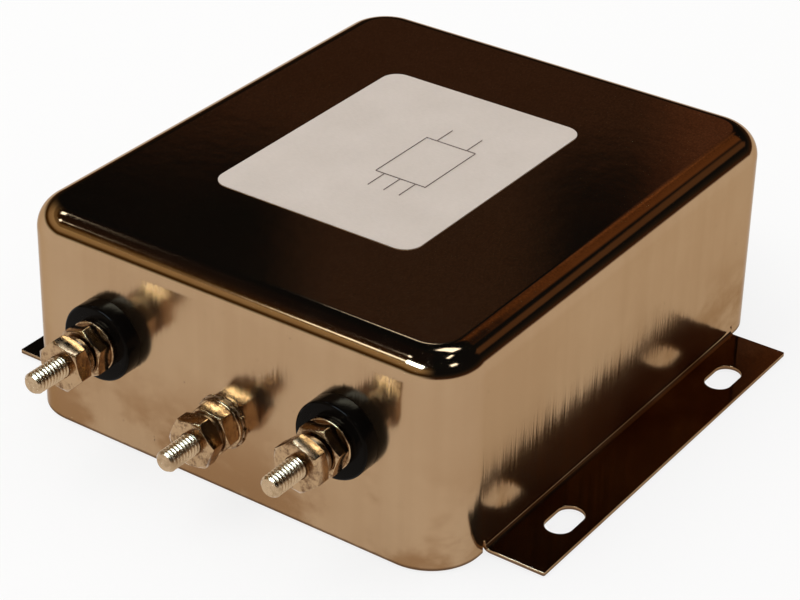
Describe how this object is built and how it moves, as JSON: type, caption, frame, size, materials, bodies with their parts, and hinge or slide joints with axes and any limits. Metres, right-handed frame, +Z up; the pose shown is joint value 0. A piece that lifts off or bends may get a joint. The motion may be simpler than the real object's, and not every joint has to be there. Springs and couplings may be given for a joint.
{
  "type": "EMI line filter",
  "caption": "Chassis-mount power line filter in a drawn metal can with slotted side flanges, insulated stud terminals and an earth stud.",
  "frame": {"origin": "bottom centre: midway between the LINE and LOAD stud tips and between the flange edges, on the plane of the flange undersides", "axes": "+X from the LINE end to the LOAD end along the studs, +Y across to the other flange, +Z up from the mounting surface"},
  "size_m": [0.1522, 0.119, 0.0424],
  "materials": {
    "drawn_can": "bright plated drawn sheet",
    "cover": "bright plated sheet",
    "label": "matte blank label",
    "insulator": "moulded, semi-gloss",
    "stud": "nickel plated",
    "hardware": "nickel plated",
    "lug": "tinned",
    "core": "coated core",
    "copper_wire": "enamelled wire",
    "tinned_wire": "tinned",
    "cup": "moulded",
    "holder": "moulded",
    "x_cap": "box case",
    "y_cap": "dipped case",
    "resistor": "lacquered",
    "liner": "pressed board",
    "resin": "cast resin"
  },
  "bodies": {
    "root": {"drawn_can": "drawn_can", "base_cover": "cover", "rating_label": "label", "line_insulators_outer": "insulator", "line_insulators_inner": "insulator", "load_insulators_outer": "insulator", "load_insulators_inner": "insulator", "line_studs": "stud", "load_studs": "stud", "earth_stud": "stud", "line_washers": "hardware", "load_washers": "hardware", "earth_washer": "hardware", "earth_tooth_washer": "hardware", "line_inner_nuts": "hardware", "load_inner_nuts": "hardware", "earth_inner_nut": "hardware", "line_lock_washers": "hardware", "load_lock_washers": "hardware", "earth_lock_washer": "hardware", "line_outer_nuts": "hardware", "load_outer_nuts": "hardware", "earth_outer_nut": "hardware", "line_lugs": "lug", "load_lugs": "lug", "earth_lug": "lug", "choke_core": "core", "winding_a": "copper_wire", "winding_b": "copper_wire", "choke_cup": "cup", "choke_holder": "holder", "x_cap_line": "x_cap", "x_cap_load": "x_cap", "y_caps": "y_cap", "bleed_resistor": "resistor", "line_leads": "copper_wire", "load_leads": "copper_wire", "component_wires": "tinned_wire", "insulating_liner": "liner", "potting_resin": "resin"}
  },
  "joints": []
}
